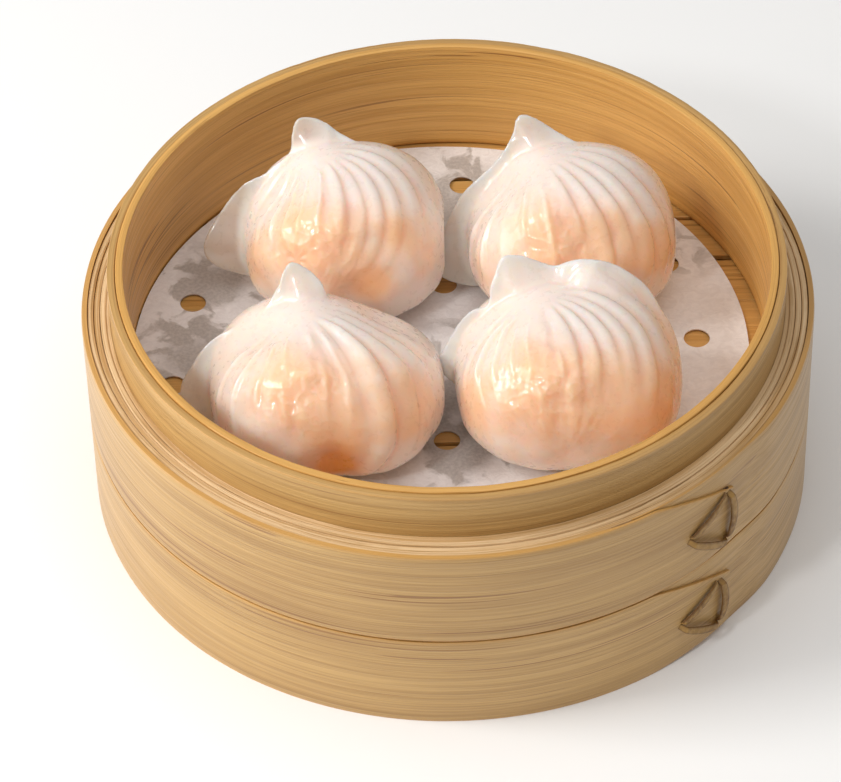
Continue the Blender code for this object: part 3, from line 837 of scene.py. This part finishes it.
# %% Form of the body and of the pinched edge
def body_radius(ways, shape):
    """Distance in mm from the middle of the body to its skin, for unit directions."""
    x, y, z = ways.T
    depth = np.where(y > 0.0, shape["back"], shape["front"])
    height = np.where(z > 0.0, shape["top"], BODY_BELOW)
    plan = np.abs(x / shape["right"]) ** PLAN_POWER + np.abs(y / depth) ** PLAN_POWER
    total = plan ** (SIDE_POWER / PLAN_POWER) + np.abs(z / height) ** SIDE_POWER
    return total ** (-1.0 / SIDE_POWER)


def edge_way(degrees):
    """Direction in the leaning plane of the pinched edge: 0 is left, 90 is up."""
    angle = math.radians(degrees)
    rise = math.sin(angle)
    return Vector((-math.cos(angle), rise * math.sin(FLANGE_LEAN), rise * math.cos(FLANGE_LEAN)))


def along_outline(outline, place):
    """Degrees and reach on a smooth curve through the outline's points."""
    index = min(int(place), len(outline) - 2)
    share = place - index
    points = [outline[min(max(index + k, 0), len(outline) - 1)] for k in (-1, 0, 1, 2)]
    found = []
    for before, start, end, after in zip(*points):
        leave, arrive = 0.5 * (end - before), 0.5 * (after - start)
        bend = 3.0 * (end - start) - 2.0 * leave - arrive
        close = leave + arrive - 2.0 * (end - start)
        found.append(start + share * (leave + share * (bend + share * close)))
    return found


def plain_body(shape):
    """A smooth ball stretched to the body's form and cut flat at the base."""
    bm = bmesh.new()
    bmesh.ops.create_uvsphere(bm, u_segments=96, v_segments=64, radius=1.0)
    for vert in bm.verts:
        way = vert.co.normalized()
        reach = float(body_radius(np.array([way]), shape)[0])
        vert.co = way * reach
        vert.co.z = max(vert.co.z, -BODY_MIDDLE)
    return bm


JUST_UNDER_ONE = 0.99999       # keeps the last point on the last span


def pinched_edge(bm, shape):
    """Adds the flange: a slab that thins outwards and ripples a little."""
    outline = shape["edge"]
    spans = len(outline) - 1
    slab = bmesh.new()
    bmesh.ops.create_grid(slab, x_segments=8 * spans, y_segments=10, size=0.5)
    behind = set(slab.verts)
    bmesh.ops.extrude_face_region(slab, geom=slab.faces[:], use_keep_orig=True)
    facing = edge_way(0.0).cross(edge_way(90.0)).normalized()
    for vert in slab.verts:
        degrees, reach = along_outline(outline, (vert.co.x + 0.5) * spans * JUST_UNDER_ONE)
        way = edge_way(degrees)
        root = FLANGE_ROOT * min(float(body_radius(np.array([way]), shape)[0]), reach)
        out = vert.co.y + 0.5
        ripple = FLANGE_RIPPLE * out * math.sin(math.radians(6.0 * degrees))
        crimp = noise.noise(Vector((degrees / 9.0, shape["at"][0], out)))
        ripple += FLANGE_RIPPLE * out * crimp
        side = 0.5 if vert in behind else -0.5
        spot = way * (root + out * (reach - 0.15 - root))
        # the foot widens into the body, more under the tab than at the wing
        widening = 1.5 + 7.0 * float(blend(20.0, 60.0, degrees))
        fillet = widening * max(0.0, 1.0 - out / 0.95) ** 1.6
        if vert not in behind:
            fillet += 8.0 * float(blend(88.0, 102.0, degrees)) * (1.0 - out) ** 1.1
        thickness = FLANGE_THICKNESS * (1.0 - FLANGE_TAPER * out)
        spot += facing * (ripple + side * (thickness + fillet))
        spot.z = max(spot.z, BASE_CLEARANCE - BODY_MIDDLE)
        vert.co = spot
    add_part(bm, slab)


# %% [markdown]
# ## One skin for the folding
# Body and flange overlap as two closed shells. A voxel remesh melts them into one
# even skin fine enough to carry pleats under a millimetre high, and a smooth pass
# takes away the voxel steps.

# %% Remesh a dumpling
VOXEL = 0.34                   # mm
EASING = 22                    # rounds of smoothing


def one_skin(shape):
    """Body and pinched edge as one fine, even mesh, in mm."""
    bm = plain_body(shape)
    pinched_edge(bm, shape)
    mesh = bpy.data.meshes.new("dough")
    bm.to_mesh(mesh)
    bm.free()
    dough = in_scene("dough", mesh)
    melt = dough.modifiers.new("melt", "REMESH")
    melt.mode = "VOXEL"
    melt.voxel_size = VOXEL
    ease = dough.modifiers.new("ease", "SMOOTH")
    ease.iterations = EASING
    return applied(dough)


# %% [markdown]
# ## Folding the skin
# The pleats run from the root of the tab to the place where the skin gathers low
# on the front, like lines of longitude between two poles on a globe whose middle
# is pulled to the front. For any point of the skin the two angles on that pulled
# globe say which pleat it is on, and how far down.

# %% The pulled globe
GREATEST_PULL = 0.85


def unit(way):
    """A direction as a unit array."""
    way = np.array(way, float)
    return way / np.linalg.norm(way)


def pleat_angles(ways, shape):
    """Fall from the tab and sweep round it, in degrees, and the sideways direction."""
    root = unit(shape["root"])
    gather = unit(shape["gather"])
    axis = unit(root - gather)
    front = unit(root + gather)
    side = np.cross(axis, front)
    half = 0.5 * math.acos(float(root @ gather))
    pull = min(1.0 / math.tan(half), GREATEST_PULL)
    facing = ways @ front
    reach = pull * facing + np.sqrt(1.0 - pull * pull * (1.0 - facing ** 2))
    globe = ways * reach[:, None] - pull * front
    fall = np.degrees(np.arccos(np.clip(globe @ axis, -1.0, 1.0)))
    sweep = np.degrees(np.arctan2(globe @ side, globe @ front))
    sideways = np.cross(axis, globe)
    sideways /= np.maximum(np.linalg.norm(sideways, axis=1), 1e-6)[:, None]
    return fall, sweep, sideways


# %% [markdown]
# ## Pleats and wet ridges
# Each pleat rises slowly from left to right and ends in a sharp edge that leans
# over the next one. Its height and its length are drawn from a seeded range, and
# one bold fold is listed. Thin broken ridges run down the calm front part,
# where the wet skin only puckers.

# %% Pleats and ridges
CREST = 0.70                   # share of a pleat's width before its crest
VALLEY_DEPTH = 0.4             # share of the pleats' height
PLEAT_HEIGHTS = (0.55, 1.30)
PLEAT_ENDS = (108.0, 150.0)    # degrees of fall
LEAN = 0.28                    # mm
RIDGE_WIDTH = 2.6              # degrees of sweep
RIDGE_HEIGHT = 0.5             # mm


def rough_noise(spots, size, seed):
    """Noise from -1 to 1 with lumps of a size in mm."""
    offset = Vector((seed * 3.7, seed * 1.3, seed * 5.9))
    return np.array([noise.noise(Vector(spot) / size + offset) for spot in spots])


def pleats(ways, spots, shape, seed):
    """Height of pleats and thin wet ridges, depth in a valley, and the lean."""
    fall, sweep, sideways = pleat_angles(ways, shape)
    sweep = sweep + 4.0 * rough_noise(spots, 14.0, seed)
    edges = np.array(shape["folds"], float)
    number = np.clip(np.searchsorted(edges, sweep), 1, len(edges) - 1)
    width = edges[number] - edges[number - 1]
    within = np.clip((sweep - edges[number - 1]) / width, 0.0, 1.0)
    rise = blend(0.0, CREST, within) * (1.0 - blend(CREST, 1.0, within))
    draw = random.Random(seed)
    taller = np.array([draw.uniform(*PLEAT_HEIGHTS) for _ in edges])[number]
    ends = np.array([draw.uniform(*PLEAT_ENDS) for _ in edges])[number]
    bold, gain, bold_end = shape["bold"]
    taller = np.where(number == bold, gain, taller)
    ends = np.where(number == bold, bold_end, ends)
    inside = blend(edges[0] - 2.0, edges[0] + 12.0, sweep)
    inside *= 0.35 + 0.65 * blend(-30.0, 35.0, sweep)
    inside *= 1.0 - blend(edges[-1] - 14.0, edges[-1], sweep)
    middle, spread = shape["calm"]
    front = np.exp(-((sweep - middle) / spread) ** 2) * blend(20.0, 45.0, fall)
    inside = inside * blend(16.0, 46.0, fall) * (1.0 - 0.85 * front)
    reach = inside * (1.0 - blend(ends - 50.0, ends, fall))
    base = inside * (1.0 - blend(82.0, 132.0, fall))
    height = shape["height"] * (taller * reach * rise - VALLEY_DEPTH * base)
    broken = 0.65 + 1.1 * rough_noise(spots, 5.0, seed + 7)
    stretch = blend(24.0, 48.0, fall) * (1.0 - blend(80.0, 116.0, fall))
    drift = sweep + 3.0 * rough_noise(spots, 8.0, seed + 8)
    for place in shape["ridges"]:
        across = (drift - place) / RIDGE_WIDTH
        height += RIDGE_HEIGHT * broken * stretch * np.exp(-across * across)
    valley = base * (1.0 - blend(0.0, 0.45, within) + blend(0.85, 1.0, within))
    before_edge = 1.0 - blend(0.8, 0.95, within)
    lean = sideways * (LEAN * reach * blend(0.40, 0.75, within) * before_edge)[:, None]
    return height, np.clip(valley, 0.0, 1.0), lean


# %% [markdown]
# ## Lumps, hollows and the star
# Shrimp under the skin pushes it out in soft mounds, and steam draws it into
# hollows. Where the dough was pressed it puckers into a small star of wrinkles.
# All are bell-shaped marks around a direction, measured along the skin.

# %% Marks on the skin
def gap_to(ways, centre, radius):
    """Distance in mm along the skin from a direction."""
    return np.arccos(np.clip(ways @ unit(centre), -1.0, 1.0)) * radius


def marks(ways, radius, spots):
    """Sum of bell-shaped marks: (direction, size, height)."""
    total = np.zeros(len(ways))
    for centre, size, height in spots:
        total += height * np.exp(-(gap_to(ways, centre, radius) / size) ** 2)
    return total


def crumple(ways, radius, spots, shape, seed):
    """Soft lumps and small wrinkles on the bulge, where shrimp presses on the skin."""
    fall, sweep, _ = pleat_angles(ways, shape)
    centre, size, _ = shape["filling"][0]
    zone = np.exp(-(gap_to(ways, centre, radius) / (0.85 * size)) ** 2)
    places = np.stack((sweep / 11.0, fall / 26.0, np.full(len(ways), 0.7 * seed)), axis=1)
    creases = rough_noise(places, 1.0, seed)
    ridges = rough_noise(places * 2.1, 1.0, seed + 1)
    lumps = rough_noise(spots, 3.4, seed + 2)
    folds = 1.0 - np.abs(rough_noise(spots, 2.2, seed + 4)) * 4.0
    folds = np.maximum(folds, 0.0)
    return zone * (0.40 * creases + 0.20 * ridges + 0.45 * lumps + 0.14 * folds)


def star(ways, radius, spots, shape, seed):
    """Radial wrinkles round a pressed point."""
    centre, reach, height = shape["star"]
    middle = unit(centre)
    right = unit(np.cross(middle, (0.0, 0.0, 1.0)))
    up = np.cross(right, middle)
    bearing = np.arctan2(ways @ up, ways @ right)
    gap = gap_to(ways, centre, radius)
    wobble = 1.6 * rough_noise(spots, 3.0, seed + 9)
    wave = np.cos(6.0 * bearing + 2.0 * wobble + 2.0)
    ring = blend(0.2, 1.6, gap) * np.exp(-(gap / reach) ** 2)
    pit = -0.7 * np.exp(-(gap / 1.2) ** 2)
    return height * (wave * ring + pit)


# %% [markdown]
# ## Colour that follows the shape, and painted shade
# The skin is clear where it is thin and milky where it is folded double. Five
# values on the vertices carry that to the finish: how much filling shows, how
# deep in a crease a point is, for painted crease shade, how doubled the skin is,
# where amber shade is painted in the hollows, and how thin and clear the wing
# is, which sets how dark its painted shade is.

# %% Sculpt one dumpling
BOX_MARGIN = 0.8               # mm that folds may pass the node's box
PORE_HEIGHT = 0.06             # mm


def vertex_rows(mesh, what):
    """The place or the normal of every vertex, a row each."""
    values = np.empty(len(mesh.vertices) * 3)
    mesh.vertices.foreach_get(what, values)
    return values.reshape(-1, 3)


def body_share(spots, proud, start, end):
    """1 on the body, fading where a point stands proud of it, and at the flat base."""
    above_base = blend(-BODY_MIDDLE + 0.5, -BODY_MIDDLE + 5.0, spots[:, 2])
    return (1.0 - blend(start, end, proud)) * above_base


def sculpt(name, shape, seed):
    """The finished mesh of a dumpling, in metres and in place."""
    mesh = one_skin(shape)
    spots = vertex_rows(mesh, "co")
    normals = vertex_rows(mesh, "normal")
    length = np.linalg.norm(spots, axis=1)
    ways = spots / length[:, None]
    radius = body_radius(ways, shape)
    on_body = body_share(spots, length / radius, 1.03, 1.12)
    folded = body_share(spots, length / radius, 1.10, 1.34)

    height, valley, lean = pleats(ways, spots, shape, seed)
    lumps = 0.5 * rough_noise(spots, 6.0, seed + 3) * blend(0.1, 0.6, -ways[:, 1])
    relief = marks(ways, radius, shape["mounds"]) + lumps
    relief += star(ways, radius, spots, shape, seed) + crumple(ways, radius, spots, shape, seed)
    fine = PORE_HEIGHT * rough_noise(spots, 2.0, seed + 5)
    spots = spots + ways * (relief * on_body)[:, None] + lean * folded[:, None]
    spots = spots + normals * (height * folded + fine)[:, None]

    filling = marks(ways, radius, shape["filling"]) * on_body
    doubled = np.clip(1.0 - on_body + blend(0.72, 0.97, ways[:, 2]), 0.0, 1.0)
    # painted shade, amber from the filling seen through, mostly in the hollows low on the front
    amber_shade = marks(ways, radius, shape["amber_shades"]) * on_body
    # painted shade: the wing beyond the body is painted darker for the dim paper seen through
    # it, and more on the first dumpling for the wall's shadow
    thin = shape["clear"] * (1.0 - on_body) * blend(5.0, -4.0, spots[:, 0] + 6.0)
    looks = {"filling": np.clip(filling, 0.0, 1.0), "crease_shade": valley * on_body,
             "doubled": doubled, "amber_shade": np.clip(amber_shade, 0.0, 1.0), "thin": thin}
    for label, values in looks.items():
        layer = mesh.attributes.new(label, "FLOAT", "POINT")
        layer.data.foreach_set("value", values.astype(np.float32))

    low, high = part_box(name)
    middle = np.array((shape["at"][0] * MM, shape["at"][1] * MM, low.z + BODY_MIDDLE * MM))
    placed = spots * MM + middle
    margin = BOX_MARGIN * MM
    placed = np.clip(placed, np.array(low) - margin, np.array(high) + margin)
    placed[:, 2] = np.maximum(placed[:, 2], low.z)
    mesh.vertices.foreach_set("co", placed.ravel())
    mesh.update()
    return mesh


# %% [markdown]
# ## The skin's finish
# Steamed starch dough is wet and glassy: light enters, scatters, and comes back
# warm where the shrimp lies close. The Principled shader's subsurface gives the
# scatter and its coat the wet shine. Tiny beads of water roughen the shine.

# %% Dumpling skin
MILKY = (0.89, 0.745, 0.655)
SHRIMP = (0.99, 0.59, 0.38)
CREASE_SHADE = (0.98, 0.64, 0.45)
DOUBLED_SKIN = (0.85, 0.74, 0.68)
WING_SHADE = (0.46, 0.36, 0.30)
AMBER_SHADE = (0.95, 0.33, 0.01)


def dumpling_skin(name):
    """Wet, milky dough with shrimp showing through."""
    finish = Finish(name, Subsurface_Radius=(1.0, 0.6, 0.4), Subsurface_Scale=0.007,
                    Coat_Weight=0.5, Coat_Roughness=0.05, IOR=1.45)
    cloudy = finish.times(finish.spread(finish.noise(190.0, 3.0), 0.35, 0.65), 0.18)
    filling = finish.spread(finish.plus(finish.attribute("filling"), cloudy), 0.12, 0.9)
    colour = finish.mix(filling, MILKY, SHRIMP)
    # painted shade: pleat valleys turn a warmer, slightly darker peach, as shade in the crease
    # and as filling showing through the thinner skin
    crease_shade = finish.times(finish.attribute("crease_shade"), 0.36)
    colour = finish.mix(crease_shade, colour, CREASE_SHADE)
    doubled = finish.times(finish.attribute("doubled"), 0.85)
    colour = finish.mix(doubled, colour, DOUBLED_SKIN)
    # painted shade on the wing
    colour = finish.mix(finish.attribute("thin"), colour, WING_SHADE)
    # painted shade: amber where the filling shows in the hollows; the scatter is lowered there
    # too
    colour = finish.mix(finish.attribute("amber_shade"), colour, AMBER_SHADE)
    scatter = finish.spread(finish.attribute("amber_shade"), 0.0, 1.0, 0.9, 0.2)
    finish.feed(finish.shader.inputs["Subsurface Weight"], scatter)
    beads = finish.noise(700.0, 2.0)
    rough = finish.spread(beads, 0.3, 0.7, 0.25, 0.42)
    return finish.wear(colour, rough, finish.bump(beads, 0.01 * MM))


skin = dumpling_skin("dumpling_skin_wet")
for seed, (node, shape) in enumerate(DUMPLINGS.items()):
    name = node.replace("dumpling", "har_gow")
    mesh = sculpt(node, shape, seed + 11)
    mesh.name = name
    finish_piece(name, mesh, skin, "dumpling_skin", node, corners=180.0)


# %% [markdown]
# ## Floor, light and camera
# The basket stands on a plain pale floor. A soft key lamp stands at the left, and
# a larger low one beside it lights the dumplings' flanks. A wide lamp overhead
# and an even pale surround fill the shadows, and a small lamp at the front left
# gives the wet skin its sharp glints. The camera looks down at 45 degrees with a
# long lens, which keeps the hoops round.

# %% Floor
FLOOR_REACH = 3.0              # metres from the basket to each side

bm = bmesh.new()
bmesh.ops.create_grid(bm, x_segments=1, y_segments=1, size=FLOOR_REACH)
floor_mesh = bpy.data.meshes.new("floor")
bm.to_mesh(floor_mesh)
bm.free()
floor_finish = Finish("pale_floor")
cloud = floor_finish.noise(3.0, 1.0)
floor_colour = floor_finish.mix(cloud, (0.93, 0.93, 0.93), (0.95, 0.95, 0.95))
floor_mesh.materials.append(
    floor_finish.wear(floor_colour, 0.8, floor_finish.bump(cloud, 0.01 * MM)))
floor = in_scene("floor", floor_mesh)

# %% Light
WHITE = (1.0, 1.0, 1.0)
WARM_WHITE = (1.0, 0.985, 0.955)
LAMPS = (  # name, direction, distance and size in metres, power in watts, colour
    ("key", (-0.72, -0.08, 0.69), 0.95, 0.32, 4.0, WARM_WHITE),
    ("side", (-0.96, -0.18, 0.22), 0.90, 0.50, 3.2, WARM_WHITE),
    ("overhead", (0.10, -0.05, 1.0), 1.20, 1.00, 3.2, WHITE),
    ("window", (-0.45, -0.55, 0.70), 0.90, 0.10, 1.5, WHITE),
)
SURROUND_STRENGTH = 0.38

world = bpy.data.worlds.new("surround")
world.use_nodes = True
surround = world.node_tree.nodes["Background"]
surround.inputs["Color"].default_value = (1.0, 0.985, 0.965, 1.0)
surround.inputs["Strength"].default_value = SURROUND_STRENGTH
bpy.context.scene.world = world

for name, way, distance, size, power, colour in LAMPS:
    lamp = bpy.data.lights.new(name, "AREA")
    lamp.size = size
    lamp.energy = power
    lamp.color = colour
    item = in_scene(name, lamp)
    item.location = Vector(way).normalized() * distance
    item.rotation_euler = (-item.location).to_track_quat("-Z", "Y").to_euler()
    print(name, "at", tuple(round(value, 2) for value in item.location))
bpy.context.scene.view_settings.view_transform = "Standard"

# %% Camera
CAMERA_DISTANCE = 0.9097
CAMERA_ELEVATION = math.radians(45.18)
CAMERA_ROLL = math.radians(-1.103)
CAMERA_LENS = 180.8            # mm, on a sensor 36 mm wide
CAMERA_SENSOR = 36.0
CAMERA_BACK = 0.7 * MM
AIM_RIGHT = -0.00707           # how far the aim is off the basket's middle, as slopes
AIM_UP = 0.01469

camera = bpy.data.cameras.new("camera")
camera.lens = CAMERA_LENS
camera.sensor_width = CAMERA_SENSOR
camera.clip_end = 10.0
outward = Vector((0.0, -math.cos(CAMERA_ELEVATION), math.sin(CAMERA_ELEVATION)))
stand = outward * CAMERA_DISTANCE
forward = -stand.normalized()
right = Vector((1.0, 0.0, 0.0))
up = right.cross(forward)
rolled_right = right * math.cos(CAMERA_ROLL) + up * math.sin(CAMERA_ROLL)
rolled_up = -right * math.sin(CAMERA_ROLL) + up * math.cos(CAMERA_ROLL)
aim = (forward + rolled_right * AIM_RIGHT + rolled_up * AIM_UP).normalized()
level = (rolled_right - aim * rolled_right.dot(aim)).normalized()
above = level.cross(aim)
seat = stand + Vector((0.0, CAMERA_BACK, 0.0))
eye = in_scene("camera", camera)
eye.matrix_world = Matrix((
    (level.x, above.x, -aim.x, seat.x),
    (level.y, above.y, -aim.y, seat.y),
    (level.z, above.z, -aim.z, seat.z),
    (0.0, 0.0, 0.0, 1.0),
))
bpy.context.scene.camera = eye
print("camera stands at", tuple(round(value, 3) for value in seat))
